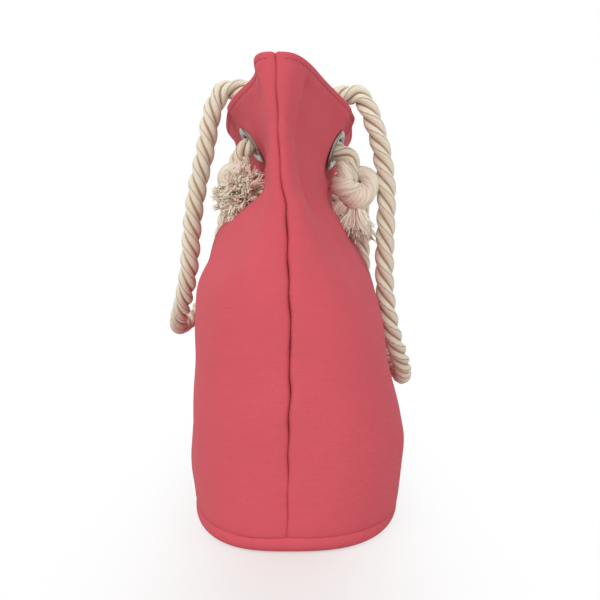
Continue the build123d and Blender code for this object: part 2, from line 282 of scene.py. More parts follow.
# the rope's material carries painted shade in the grooves between its strands
rope_cotton = cotton_material("rope_cotton", (0.80, 0.735, 0.60), (0.62, 0.53, 0.39), 12, True)
knot_cotton = cotton_material("knot_cotton", (0.80, 0.735, 0.60), (0.68, 0.59, 0.45), 9)
fray_cotton = cotton_material("fray_cotton", (1.0, 0.93, 0.78), (0.93, 0.83, 0.65), 3)
seam_thread = cotton_material("seam_thread", shade(coral, 0.95), shade(coral, 0.7), 4)
plated_metal = metal_material("plated_metal", (0.38, 0.36, 0.33))

# ---------------------------------------------------------------- mesh helpers


def mesh_object(name, points, faces, material, uv=None):
    mesh = bpy.data.meshes.new(name)
    mesh.from_pydata([tuple(p) for p in points], [], faces)
    mesh.polygons.foreach_set("use_smooth", [True] * len(faces))
    if uv is not None:
        layer = mesh.uv_layers.new(name="cloth")
        corner = np.empty(len(mesh.loops), int)
        mesh.loops.foreach_get("vertex_index", corner)
        layer.data.foreach_set("uv", np.asarray(uv, float)[corner].ravel())
    mesh.materials.append(material)
    mesh.update()
    obj = bpy.data.objects.new(name, mesh)
    bpy.context.scene.collection.objects.link(obj)
    return obj


def grid_faces(rows, columns, around=False):
    """Quads of a grid of rows x columns points; around closes each row into a ring."""
    last = columns if around else columns - 1
    return [
        (r * columns + c, r * columns + (c + 1) % columns,
         (r + 1) * columns + (c + 1) % columns, (r + 1) * columns + c)
        for r in range(rows - 1)
        for c in range(last)
    ]


def thicken(obj, thickness):
    solid = obj.modifiers.new("thickness", "SOLIDIFY")
    solid.thickness = thickness
    solid.offset = 0
    return obj


def unit(vectors):
    return vectors / np.linalg.norm(vectors, axis=-1, keepdims=True)


def ease(x):
    x = np.clip(x, 0, 1)
    return x * x * (3 - 2 * x)


def bell(distance, width):
    return np.exp(-((distance / width) ** 2))


# ---------------------------------------------------------------- shape of the cloth


def smooth(values, heights):
    """Values at heights between the levels, without overshoot."""
    values = np.asarray(values, float)
    steps = np.diff(levels)
    slopes = np.diff(values) / steps
    before, after = slopes[:-1], slopes[1:]
    same_way = before * after > 0
    inner = np.where(same_way, 2 * before * after / np.where(same_way, before + after, 1), 0)
    tangents = np.concatenate([[slopes[0]], inner, [0]])
    index = np.clip(np.searchsorted(levels, heights, side="right") - 1, 0, len(steps) - 1)
    s = (heights - levels[index]) / steps[index]
    return (
        values[index] * (1 + 2 * s) * (1 - s) ** 2
        + values[index + 1] * s * s * (3 - 2 * s)
        + tangents[index] * steps[index] * s * (1 - s) ** 2
        - tangents[index + 1] * steps[index] * s * s * (1 - s)
    )


def at_height(values, rim_value, heights, softness=0.0):
    """Below the fold a smooth curve, above it the straight flare of the hem."""
    heights = np.asarray(heights, float)
    shifts = np.linspace(-softness, softness, 9) if softness else np.zeros(1)
    total = 0
    for shift in shifts:
        h = np.clip(heights + shift, 0, None)
        below = smooth(values, np.minimum(h, fold_z))
        share = (h - fold_z) / hem_rise
        above = values[-1] + (rim_value - values[-1]) * share
        total = total + np.where(h <= fold_z, below, above)
    return total / len(shifts)


def reach(side, across, heights, softness=0.0):
    """Distance of a panel's outer face from the seam plane; across is 0 mid-width, 1 at a seam."""
    middle = at_height(reaches[side], rim_reaches[side], heights, softness)
    end = at_height([fold_end_reach] * len(levels), rim_end_reach, heights, softness)
    pinch = at_height(pinches, 1, heights, softness)
    hollow = at_height(hollows, 0, heights, softness)
    across = np.clip(np.abs(across), 0, 1)
    sunk = 1 - hollow * (1 - across**2) ** 2
    rounded = middle * sunk * (1 - across**body_squareness) ** (1 / body_squareness)
    blunt_end = end * (1 - across**end_squareness) ** (1 / 3)
    pinched = blunt_end + (middle - end) * (1 - across**mouth_flatness) ** mouth_falloff
    return rounded * (1 - pinch) + pinched * pinch


def face_row(side, height, shares, softness=0.0):
    """Points of a panel's outer face at a height, at shares of its length from seam to seam."""
    q = np.linspace(-1, 1, 801)
    across = np.sign(q) * (1 - (1 - np.abs(q)) ** 3)
    half_width = at_height(half_widths, rim_half_width, height, softness)
    x = across * half_width
    y = seam_y + side * reach(side, across, height, softness)
    run = np.concatenate([[0], np.cumsum(np.hypot(np.diff(x), np.diff(y)))])
    places = shares * run[-1]
    row = np.stack([np.interp(places, run, x), np.interp(places, run, y),
                    np.full(len(shares), float(height))], axis=1)
    return row, places, run[-1]


def hem_frame(side, x):
    """Eyelet centre on the hem, and the unit directions along, up and out of it."""
    def edge(height, at=x):
        across = at / at_height(half_widths, rim_half_width, height)
        return seam_y + side * float(reach(side, across, height))

    low_y, high_y = edge(fold_z), edge(rim_z)
    slant = math.hypot(high_y - low_y, hem_rise)
    up = Vector((0, (high_y - low_y) / slant, hem_rise / slant))
    centre = Vector((x, high_y, rim_z)) - up * eyelet_drop
    along = Vector((0.002, edge(centre.z, x + 0.001) - edge(centre.z, x - 0.001), 0)).normalized()
    out = along.cross(up).normalized()
    if out.y * side < 0:
        out = -out
    return centre, along, up, out


eyelets = {
    side: [hem_frame(side, x) for x in (-eyelet_x, eyelet_x)] for side in SIDES
}

# ---------------------------------------------------------------- folds in the cloth


def crease(across, up, start, end, width, height):
    """A ridge, or a valley where height is negative, from start to end, fading at both."""
    ax, ay = start
    dx, dy = end[0] - ax, end[1] - ay
    length = math.hypot(dx, dy)
    t = ((across - ax) * dx + (up - ay) * dy) / length**2
    off = np.hypot(across - ax - np.clip(t, 0, 1) * dx, up - ay - np.clip(t, 0, 1) * dy)
    fade = ease((t + 0.25) / 0.5) * ease((1.25 - t) / 0.5)
    return height * bell(off, width) * fade


# drift of each side seam off its plane, up the bag: heights, and how far towards the back
seam_drift = {
    1: ([0, 0.06, 0.10, 0.125, 0.150, 0.165, 0.22, 0.262, 0.275, 0.30, rim_z],
        [-0.001, 0, 0.0005, 0.0018, 0.0008, 0.0022, 0, -0.001, -0.0042, -0.0062, -0.0086]),
    -1: ([0, 0.05, 0.11, 0.150, 0.20, 0.24, 0.29, rim_z],
         [0, 0.0012, -0.001, 0.0014, 0.003, 0.001, 0.0035, 0.0025]),
}
# sharp folds beside each end of the mouth: heights, and distances from the seam along the cloth
nose_fold_depth = 0.0062
nose_folds = {
    FRONT: {1: ([0.258, 0.268, 0.280, 0.300, 0.320, 0.342, 0.362],
                [0.024, 0.016, 0.010, 0.009, 0.009, 0.012, 0.020]),
            -1: ([0.252, 0.275, 0.300, 0.330, 0.360], [0.030, 0.014, 0.011, 0.013, 0.020])},
    BACK: {1: ([0.255, 0.266, 0.283, 0.300, 0.315, 0.340, 0.364],
               [0.046, 0.041, 0.031, 0.0225, 0.0215, 0.025, 0.030]),
           -1: ([0.252, 0.270, 0.300, 0.330, 0.360], [0.034, 0.024, 0.015, 0.014, 0.022])},
}
# depth of the side seams' groove up the bag, and height of the rolled edge beside it
groove_depth = ([0, 0.05, 0.08, 0.12, 0.20, 0.262, 0.275, rim_z],
                [0.0014, 0.0018, 0.0040, 0.0052, 0.0050, 0.0046, 0.0026, 0.0018])
rolled_edge = ([0, 0.05, 0.10, 0.26, 0.29], [0, 0.0004, 0.0008, 0.0006, 0])
rolled_share = {FRONT: 1.0, BACK: 0.55}  # the front panel's edge lies uppermost
base_seam_groove = 0.0016
stitch_groove = 0.0004
hem_stitch_z = rim_z - 0.0036  # height of the stitching along each hem

rim_sag = {FRONT: 0.0015, BACK: 0.0040}  # how far each rope's weight pulls the rim down

# long soft folds in each panel: start and end as (x, height), width, height of the ridge
folds = {
    FRONT: [
        ((-0.060, 0.330), (-0.085, 0.210), 0.016, 0.0035),
        ((0.010, 0.325), (0.030, 0.190), 0.018, 0.0030),
        ((0.075, 0.330), (0.055, 0.220), 0.013, 0.0028),
        ((-0.160, 0.290), (-0.110, 0.150), 0.022, 0.0030),
        ((0.165, 0.285), (0.100, 0.140), 0.022, 0.0030),
        ((-0.040, 0.170), (-0.130, 0.050), 0.020, -0.0022),
        ((0.060, 0.150), (0.150, 0.045), 0.020, -0.0022),
        ((-0.175, 0.075), (-0.070, 0.040), 0.014, 0.0016),
        ((0.020, 0.060), (0.140, 0.036), 0.013, 0.0016),
    ],
    BACK: [
        ((-0.070, 0.325), (-0.050, 0.200), 0.017, 0.0032),
        ((-0.010, 0.330), (-0.020, 0.215), 0.014, 0.0028),
        ((0.060, 0.325), (0.085, 0.195), 0.017, 0.0034),
        ((-0.170, 0.280), (-0.105, 0.130), 0.024, 0.0028),
        ((0.160, 0.290), (0.120, 0.160), 0.020, 0.0026),
        ((0.050, 0.160), (-0.060, 0.060), 0.024, -0.0024),
        ((-0.150, 0.120), (-0.080, 0.040), 0.018, -0.0018),
        ((0.165, 0.090), (0.060, 0.042), 0.015, 0.0016),
    ],
}


def cloth_noise(points, scale, seed):
    """Smooth noise over the points, from about -1 to 1."""
    offset = Vector((seed, 2.3 * seed, -seed))
    flat = points.reshape(-1, 3) * scale
    values = [noise.noise(Vector(p) + offset) for p in flat]
    return np.array(values).reshape(points.shape[:-1])


panel_columns, panel_rows = 211, 142
seam_crowding = 0.72  # of the grid's columns towards the seams
shape_softness = 0.007  # height over which the changes of shape are smoothed
broad_wave, small_wave = 0.0022, 0.0008  # uneven cloth over the whole panel
hem_wave = 0.0016  # of the hem between its eyelets
eyelet_pull = 0.0016  # puckers round each eyelet


def fold_height(side, points, from_seam):
    """How far the cloth stands out from the even shape, in metres."""
    x, z = points[..., 0], points[..., 2]
    end_fade = ease(from_seam / 0.05)
    total = sum(crease(x, z, *fold) for fold in folds[side]) * end_fade
    stretched = points * np.array([1, 1, 0.55])
    below_hem = ease((fold_z + 0.02 - z) / 0.05)
    total = total + broad_wave * cloth_noise(stretched, 14, 3 + side) * end_fade * below_hem
    total = total + small_wave * cloth_noise(stretched, 38, 9 + side) * below_hem
    on_hem = ease((z - fold_z) / 0.03)
    total = total + on_hem * end_fade * hem_wave * np.sin(x * 62 + side)
    for centre, along, up, _ in eyelets[side]:
        rel = points - np.array(centre)
        a, b = rel @ np.array(along), rel @ np.array(up)
        angle, radius = np.arctan2(b, a), np.hypot(a, b)
        rays = np.cos(5 * angle + 0.7 * side + 9 * centre.x)
        total = total + eyelet_pull * rays * bell(radius - 0.032, 0.010)
    return total


def nose_fold_height(side, z, from_seam, hand):
    """How far the pinched ends of the mouth fold back on either side of their seams."""
    total = 0
    for way, (fold_heights, fold_offsets) in nose_folds[side].items():
        beyond = from_seam - np.interp(z, fold_heights, fold_offsets)
        tuck = ease((beyond + 0.001) / 0.005) * np.exp(-np.clip(beyond, 0, None) / 0.024)
        inside = ease((z - fold_heights[0]) / 0.012) * ease((fold_heights[-1] - z) / 0.012)
        total = total - np.where(hand == way, nose_fold_depth * tuck * inside, 0)
    return total


def seam_height(side, z, from_seam):
    """Grooves at the seams and along the hem's stitching, and the rolled edges beside them."""
    uneven = 1 + 0.35 * np.sin(z * 210 + side)
    depth = np.interp(z, *groove_depth) * uneven
    groove = -depth * (np.exp(-from_seam / 0.0009) + 0.13 * np.exp(-from_seam / 0.0045))
    rolled = np.interp(z, *rolled_edge) * rolled_share[side] * bell(from_seam - 0.008, 0.006)
    stitching = -stitch_groove * bell(z - hem_stitch_z, 0.0011)
    base_seam = -base_seam_groove * np.exp(-(z - seam_z) / 0.0022)
    return groove + rolled + stitching + base_seam


def flatten_at_eyelets(side, points):
    """Bring the cloth flat against each eyelet."""
    for centre, along, up, out in eyelets[side]:
        rel = points - np.array(centre)
        radius = np.hypot(rel @ np.array(along), rel @ np.array(up))
        proud = rel @ np.array(out)
        flat = ease((0.034 - radius) / 0.014) * (np.abs(proud) < 0.03)
        points = points - (proud * flat)[..., None] * np.array(out)
    return points


def panel_shape(side):
    """Outer face of a panel as a grid, with its outward normals and the cloth's length."""
    w = np.linspace(0, 1, panel_columns)
    shares = w - seam_crowding * np.sin(2 * math.pi * w) / (2 * math.pi)
    heights = np.concatenate([seam_z + np.array([0, 0.0012, 0.0024]),
                              np.linspace(seam_z + 0.004, rim_z - 0.0016, panel_rows)])
    rows, runs = [], []
    for height in heights:
        row, places, _ = face_row(side, height, shares, shape_softness)
        rows.append(row)
        runs.append(places)
    points, runs = np.array(rows), np.array(runs)
    girth = runs[:, -1:]
    from_seam = np.minimum(runs, girth - runs)
    hand = np.where(runs > girth / 2, 1, -1)
    z = points[..., 2].copy()
    sag = rim_sag[side] * bell(np.abs(points[..., 0]) - eyelet_x, 0.045)
    points[..., 2] -= sag * ease((z - fold_z - 0.02) / 0.028)
    for way, (drift_heights, drifts) in seam_drift.items():
        drift = np.interp(z, drift_heights, drifts)
        points[..., 1] += np.where(hand == way, drift * bell(from_seam, 0.045), 0)
    normals = cloth_normals(points, side)
    relief = (fold_height(side, points, from_seam)
              + nose_fold_height(side, z, from_seam, hand)
              + seam_height(side, z, from_seam))
    points = flatten_at_eyelets(side, points + normals * relief[..., None])
    return points, cloth_normals(points, side), runs


def cloth_normals(points, side):
    across = np.gradient(points, axis=1)
    upward = np.gradient(points, axis=0)
    normals = unit(np.cross(across, upward)) * -side
    for column, way in ((0, -1), (-1, 1)):
        normals[:, column] = (way, 0, 0)
    return normals


def make_panel(side):
    """A front or back panel with its hem turned in and down at the rim."""
    points, normals, runs = panel_shape(side)
    outer = points - normals * canvas / 2
    hem_rows = int(np.sum(points[:, 0, 2] > fold_z + 0.001))
    upward = unit(points[-1] - points[-2])
    turn_radius = (canvas / 2 + ply_gap + facing_canvas / 2) / 2
    rim = outer[-1] - normals[-1] * turn_radius
    turn = [
        rim + turn_radius * (math.cos(a) * normals[-1] + math.sin(a) * upward)
        for a in np.linspace(0, math.pi, 7)[1:-1]
    ]
    facing_inset = canvas + ply_gap + facing_canvas / 2
    facing = (points - normals * facing_inset)[-hem_rows:][::-1]
    grid = np.concatenate([outer, np.array(turn), facing])
    columns = grid.shape[1]
    # cloth coordinates for the weave
    u = np.concatenate([runs, np.repeat(runs[-1:], len(turn), 0), runs[-hem_rows:][::-1]])
    climb = np.linalg.norm(np.diff(grid[:, columns // 2], axis=0), axis=1)
    v = np.concatenate([[0], np.cumsum(climb)])[:, None] + np.zeros(columns)
    uv = np.stack([u, v], axis=-1).reshape(-1, 2)
    flat_points = grid.reshape(-1, 3)
    faces = grid_faces(grid.shape[0], columns)
    centres = flat_points[np.array(faces)].mean(axis=1)
    keep = np.ones(len(faces), bool)
    for centre, along, up, out in eyelets[side]:
        rel = centres - np.array(centre)
        radius = np.hypot(rel @ np.array(along), rel @ np.array(up))
        keep &= (radius > hole_radius) | (np.abs(rel @ np.array(out)) > 0.02)
    faces = [face for face, kept in zip(faces, keep) if kept]
    if side == BACK:
        faces = [face[::-1] for face in faces]
    word = SIDES[side]
    panel = mesh_object(f"{word}_cloth", flat_points, faces, coral_canvas, uv)
    thicken(panel, canvas)
    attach(panel, "bag")
    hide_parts(f"{word}_panel", f"{word}_hem_facing")
    return panel, points, normals, runs


panels = {side: make_panel(side) for side in SIDES}

# ---------------------------------------------------------------- stitching of the hems


stitch_length, stitch_gap, thread_radius = 0.0030, 0.0009, 0.00038


def make_stitches(side):
    """The row of stitches round one hem, on the outer face."""
    _, points, normals, runs = panels[side]
    row = int(np.argmin(np.abs(points[:, points.shape[1] // 2, 2] - hem_stitch_z)))
    path = points[row] + normals[row] * 0.0001
    run = runs[row]
    starts = np.arange(0.004, run[-1] - 0.008, stitch_length + stitch_gap)
    sides, steps = 5, 5
    turns = np.linspace(0, 2 * math.pi, sides, endpoint=False)
    rings, faces, uv = [], [], []
    for begin in starts:
        along = begin + np.linspace(0, stitch_length, steps)
        line = np.stack([np.interp(along, run, path[:, i]) for i in range(3)], axis=1)
        out = np.stack([np.interp(along, run, normals[row][:, i]) for i in range(3)], axis=1)
        line = line + out * (0.00035 * np.sin(np.linspace(0, math.pi, steps)) - 0.0002)[:, None]
        up = unit(np.cross(out, np.gradient(line, axis=0)))
        ring = (line[:, None] + out[:, None] * np.cos(turns)[:, None] * thread_radius
                + up[:, None] * np.sin(turns)[:, None] * thread_radius)
        start = len(rings) * steps * sides
        rings.append(ring.reshape(-1, 3))
        faces += [tuple(i + start for i in face) for face in grid_faces(steps, sides, around=True)]
        uv.append(np.stack([np.tile(turns / (2 * math.pi), steps),
                            np.repeat(np.linspace(0, 2, steps), sides)], axis=1))
    name = f"{SIDES[side]}_hem_stitches_{round(hem_stitch_z * 1000)}"
    thread = mesh_object(name, np.concatenate(rings), faces, seam_thread, np.concatenate(uv))
    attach(thread, "bag")


for side in SIDES:
    make_stitches(side)

# ---------------------------------------------------------------- tape over each side seam


def make_tape(hand):
    """Tape over the seam allowances inside a side seam, seen from inside the bag."""
    name = f"{HANDS[hand]}_seam_tape"
    low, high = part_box(name)
    distances = np.linspace(0, tape_reach, 7)
    inset = canvas + 0.0010  # so the tape lies clear of the cloth
    halves = {}
    for side, (_, points, normals, runs) in panels.items():
        rows = np.flatnonzero((points[:, 0, 2] > low.z) & (points[:, 0, 2] < high.z))
        half = []
        for row in rows:
            run = runs[row] if hand < 0 else runs[row, -1] - runs[row][::-1]
            face = (points - normals * inset)[row][::-hand]
            half.append([[np.interp(d, run, face[:, i]) for i in range(3)] for d in distances])
        halves[side] = np.array(half)
    seam = (halves[FRONT][:, :1] + halves[BACK][:, :1]) / 2
    grid = np.concatenate([halves[FRONT][:, :0:-1], seam, halves[BACK][:, 1:]], axis=1)
    rows, columns = grid.shape[:2]
    across = np.concatenate([-distances[:0:-1], distances])
    u, v = np.meshgrid(across, grid[:, 0, 2])
    tape = mesh_object(f"{name}_cloth", grid.reshape(-1, 3), grid_faces(rows, columns), tape_cloth,
                       np.stack([u.ravel(), v.ravel()], axis=1))
    thicken(tape, tape_cloth_thickness)
    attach(tape, "bag")
    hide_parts(name)


for hand in HANDS:
    make_tape(hand)

# ---------------------------------------------------------------- base


def make_base():
    """Base panel with its edge turned up to the base seam."""
    shares = np.linspace(0, 1, 181)
    front = face_row(FRONT, seam_z, shares)[0]
    back = face_row(BACK, seam_z, shares)[0]
    outline = np.concatenate([front[:-1], back[::-1][:-1]])[:, :2]
    ahead, behind = np.roll(outline, -1, 0), np.roll(outline, 1, 0)
    tangent = unit(ahead - behind)
    inward = np.stack([-tangent[:, 1], tangent[:, 0]], axis=1)
    # (inset, height): rolled in at the seam, then down and round the edge to the flat
    profile = [(0.0016, seam_z + 0.0008), (0.0005, seam_z - 0.0006), (0, seam_z - 0.0018)]
    for a in np.radians(np.linspace(0, 90, 8)):
        profile.append((base_edge_radius * (1 - math.cos(a)),
                        canvas / 2 + base_edge_radius * (1 - math.sin(a))))
    profile = [(inset + canvas / 2, height) for inset, height in profile]
    rings = [np.column_stack([outline + inward * inset, np.full(len(outline), height)])
             for inset, height in profile]
    last = rings[-1]
    centre = np.array([0, seam_y, 0])
    for shrink in (0.9, 0.75, 0.55, 0.3, 0.08):
        ring = centre + (last - centre) * shrink
        ring[:, 2] = canvas / 2
        rings.append(ring)
    rings = np.array(rings)
    rows, columns = rings.shape[:2]
    points = rings.reshape(-1, 3)
    faces = grid_faces(rows, columns, around=True)
    faces.append(tuple(range((rows - 1) * columns, rows * columns)))
    base = mesh_object("base_cloth", points, [f[::-1] for f in faces], coral_canvas, points[:, :2])
    thicken(base, canvas)
    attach(base, "bag")
    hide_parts("base_panel")
    return base


base = make_base()

# ---------------------------------------------------------------- ropes


def route_line(route, step):
    """Even points along the smooth spline whose control points are the route."""
    curve = bpy.data.curves.new("route", "CURVE")
    curve.dimensions = "3D"
    spline = curve.splines.new("NURBS")
    spline.points.add(len(route) - 1)
    for point, place in zip(spline.points, route):
        point.co = (*place, 1)
    spline.order_u = 3
    spline.use_endpoint_u = True
    spline.resolution_u = 16
    carrier = bpy.data.objects.new("route", curve)
    mesh = bpy.data.meshes.new_from_object(carrier)
    line = np.array([v.co for v in mesh.vertices], float)
    bpy.data.objects.remove(carrier)
    bpy.data.curves.remove(curve)
    bpy.data.meshes.remove(mesh)
    run = np.concatenate([[0], np.cumsum(np.linalg.norm(np.diff(line, axis=0), axis=1))])
    count = max(int(run[-1] / step), 8) + 1
    places = np.linspace(0, run[-1], count)
    return np.stack([np.interp(places, run, line[:, i]) for i in range(3)], axis=1), run[-1]


def carried_frames(line):
    """Unit directions along and across a line, carried without twist."""
    tangents = unit(np.gradient(line, axis=0))
    across = [unit(np.cross(tangents[0], [0.3, 0.2, 1.0]))]
    for tangent in tangents[1:]:
        across.append(unit(across[-1] - tangent * (across[-1] @ tangent)))
    across = np.array(across)
    return tangents, across, np.cross(tangents, across)


def laid_rope(name, line, length, material, radius=rope_diameter / 2, lay=rope_lay,
              softness=0.0, sides=16):
    """Three strands laid round a line; softness presses them together."""
    _, across, other = carried_frames(line)
    strand = radius * (0.51 + 0.1 * softness)
    offset = radius - strand
    run = np.linspace(0, length, len(line))
    wobble = 1 + 0.02 * np.sin(run * 190) + 0.015 * np.sin(run * 71 + 1)
    turns = np.linspace(0, 2 * math.pi, sides, endpoint=False)
    points, faces, uv = [], [], []
    for index in range(3):
        phase = -2 * math.pi * run / lay + index * 2 * math.pi / 3
        radial = np.cos(phase)[:, None] * across + np.sin(phase)[:, None] * other
        sideways = -np.sin(phase)[:, None] * across + np.cos(phase)[:, None] * other
        centre = line + radial * offset
        start = len(points) * len(line) * sides
        ring = (centre[:, None]
                + radial[:, None] * (np.cos(turns)[:, None] * strand) * wobble[:, None, None]
                + sideways[:, None] * (np.sin(turns)[:, None] * strand * 1.10))
        points.append(ring.reshape(-1, 3))
        faces += [tuple(i + start for i in face)
                  for face in grid_faces(len(line), sides, around=True)]
        faces.append(tuple(start + i for i in range(sides))[::-1])
        faces.append(tuple(start + (len(line) - 1) * sides + i for i in range(sides)))
        girth = 2 * math.pi * strand
        uv.append(np.stack([np.tile(turns / (2 * math.pi), len(line)),
                            np.repeat(run * 1.12 / girth, sides)], axis=1))
    return mesh_object(name, np.concatenate(points), faces, material, np.concatenate(uv))


# how each rope end runs, from its knot in through the eyelet, up inside the hem
# and over the rim: (y, z), at the eyelet's x
tucks = {
    FRONT: [(-0.0530, 0.3050), (-0.0535, 0.3160), (-0.0541, 0.3270), (-0.0285, 0.3458),
            (-0.0365, 0.3690), (-0.0440, 0.3860), (-0.0590, 0.3885)],
    BACK: [(0.0480, 0.3010), (0.0490, 0.3135), (0.0504, 0.3252), (0.0212, 0.3378),
           (0.0280, 0.3610), (0.0345, 0.3805), (0.0490, 0.3835)],
}
# the hanging loops, from the right crossing of the rim round to the left one:
# along the width, outward and up from the right crossing
loops = {
    FRONT: [
        (-0.001, 0.0095, -0.020), (-0.001, 0.0135, -0.050), (-0.002, 0.0220, -0.086),
        (-0.006, 0.0280, -0.122), (-0.014, 0.0310, -0.157), (-0.029, 0.0390, -0.189),
        (-0.061, 0.0520, -0.214), (-0.105, 0.0600, -0.224), (-0.149, 0.0530, -0.215),
        (-0.181, 0.0410, -0.190), (-0.196, 0.0320, -0.157), (-0.203, 0.0280, -0.122),
        (-0.207, 0.0220, -0.086), (-0.209, 0.0135, -0.050), (-0.209, 0.0095, -0.020),
    ],
    BACK: [
        (-0.001, 0.0095, -0.020), (-0.001, 0.0180, -0.048), (-0.002, 0.0235, -0.084),
        (-0.004, 0.0225, -0.122), (-0.008, 0.0215, -0.158), (-0.014, 0.0240, -0.193),
        (-0.024, 0.0320, -0.225), (-0.045, 0.0440, -0.251), (-0.074, 0.0510, -0.267),
        (-0.106, 0.0540, -0.273), (-0.139, 0.0510, -0.266), (-0.167, 0.0440, -0.249),
        (-0.187, 0.0340, -0.222), (-0.198, 0.0265, -0.190), (-0.204, 0.0225, -0.156),
        (-0.207, 0.0225, -0.120), (-0.208, 0.0235, -0.084), (-0.209, 0.0180, -0.048),
        (-0.209, 0.0095, -0.020),
    ],
}
pivots = {
    side: Vector(joint["pos_m"]) + Vector((eyelet_x, 0, 0))
    for side, joint in zip((FRONT, BACK), frame["joints"])
}
# an overhand knot tied below the eyelet: outward, up and towards the bag's end,
# from the knot's centre
knot_route = {
    FRONT: [
        (-0.005, 0.024, 0.000), (-0.006, 0.012, 0.002), (-0.007, 0.000, 0.000),
        (-0.004, -0.010, -0.002), (0.004, -0.012, -0.007), (0.010, -0.004, -0.004),
        (0.011, 0.007, 0.001), (0.005, 0.012, 0.009), (-0.005, 0.010, 0.010),
        (-0.012, 0.003, 0.002), (-0.008, -0.003, -0.010), (0.000, -0.003, -0.003),
        (0.001, -0.006, 0.009), (-0.002, -0.008, 0.020),
    ],
    BACK: [
        (-0.008, 0.022, 0.000), (-0.009, 0.012, 0.002), (-0.009, 0.000, 0.000),
        (-0.005, -0.011, 0.002), (0.005, -0.013, 0.008), (0.013, -0.004, 0.005),
        (0.014, 0.009, -0.001), (0.006, 0.014, -0.009), (-0.007, 0.011, -0.010),
        (-0.016, 0.003, -0.002), (-0.010, -0.003, 0.010), (0.000, -0.002, 0.004),
        (0.003, -0.008, -0.006), (0.002, -0.018, -0.003), (0.001, -0.024, 0.001),
    ],
}
knot_centres = {FRONT: (-0.0555, 0.2985), BACK: (0.0535, 0.2965)}
knot_rope_radius = {FRONT: 0.0083, BACK: 0.0092}


def knot_place(side, hand, offset):
    out, up, along = offset
    y, z = knot_centres[side]
    return Vector((hand * (eyelet_x + along), y + side * out, z + up))


def make_knot(side, hand):
    name = f"{SIDES[side]}_{HANDS[hand]}"
    route = [knot_place(side, hand, offset) for offset in knot_route[side]]
    line, length = route_line(route, 0.0015)
    knot = laid_rope(f"stopper_knot_{name}", line, length, knot_cotton,
                     radius=knot_rope_radius[side], softness=1.4, lay=0.075)
    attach(knot, "bag")
    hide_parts(f"knot_{name}")
    return knot


def yarn(points, faces, uv, path, radius):
    """One thin tapered yarn along a path."""
    sides = 4
    _, across, other = carried_frames(path)
    start = sum(len(p) for p in points)
    taper = radius * (1 - 0.55 * np.linspace(0, 1, len(path)) ** 2)
    turns = np.linspace(0, 2 * math.pi, sides, endpoint=False)
    ring = (path[:, None]
            + across[:, None] * np.cos(turns)[:, None] * taper[:, None, None]
            + other[:, None] * np.sin(turns)[:, None] * taper[:, None, None])
    points.append(ring.reshape(-1, 3))
    faces += [tuple(i + start for i in face)
              for face in grid_faces(len(path), sides, around=True)]
    faces.append(tuple(start + (len(path) - 1) * sides + i for i in range(sides)))
    along = np.linspace(0, 8, len(path))
    uv.append(np.stack([np.tile(turns / (2 * math.pi), len(path)),
                        np.repeat(along, sides)], axis=1))


def tuft_core(points, faces, uv, centre, radii):
    """Lumpy ball of matted cotton under the loose yarns."""
    rows, columns = 14, 22
    start = sum(len(p) for p in points)
    polar = np.linspace(0.02, math.pi - 0.02, rows)[:, None]
    around = np.linspace(0, 2 * math.pi, columns, endpoint=False)[None, :]
    ball = np.stack([np.sin(polar) * np.cos(around), np.sin(polar) * np.sin(around),
                     np.cos(polar) + 0 * around], axis=-1)
    lumps = 1 + 0.16 * cloth_noise(ball, 2.2, 5)
    points.append((centre + ball * lumps[..., None] * np.array(radii)).reshape(-1, 3))
    faces += [tuple(i + start for i in face) for face in grid_faces(rows, columns, around=True)]
    turn, climb = np.meshgrid(np.linspace(0, 3, columns), np.linspace(0, 3, rows))
    uv.append(np.stack([turn.ravel(), climb.ravel()], axis=1))


# how each rope's end opens: on the front a mop that grows all over its core, and on
# the back a brush that hangs from its knot; along the width, across it and up
tufts = {
    FRONT: {
        "root": (0.004, 0.006, -0.006), "core_drop": 0, "core": (0.011, 0.013, 0.014),
        "axis": (0.7, -0.1, -0.5), "spread": 0, "longest": 0.017, "clumps": 190, "curl": 1.3,
    },
    BACK: {
        "root": (0, 0, 0), "core_drop": 0.008, "core": (0.007, 0.007, 0.012),
        "axis": (0.1, 0.02, -1.0), "spread": 0.45, "longest": 0.029, "clumps": 60, "curl": 0.6,
    },
}
yarns_per_clump = 7
yarn_steps = 9
yarn_droop = np.array([0, 0, -0.05])


def scatter():
    return np.array([rng.gauss(0, 1) for _ in range(3)])


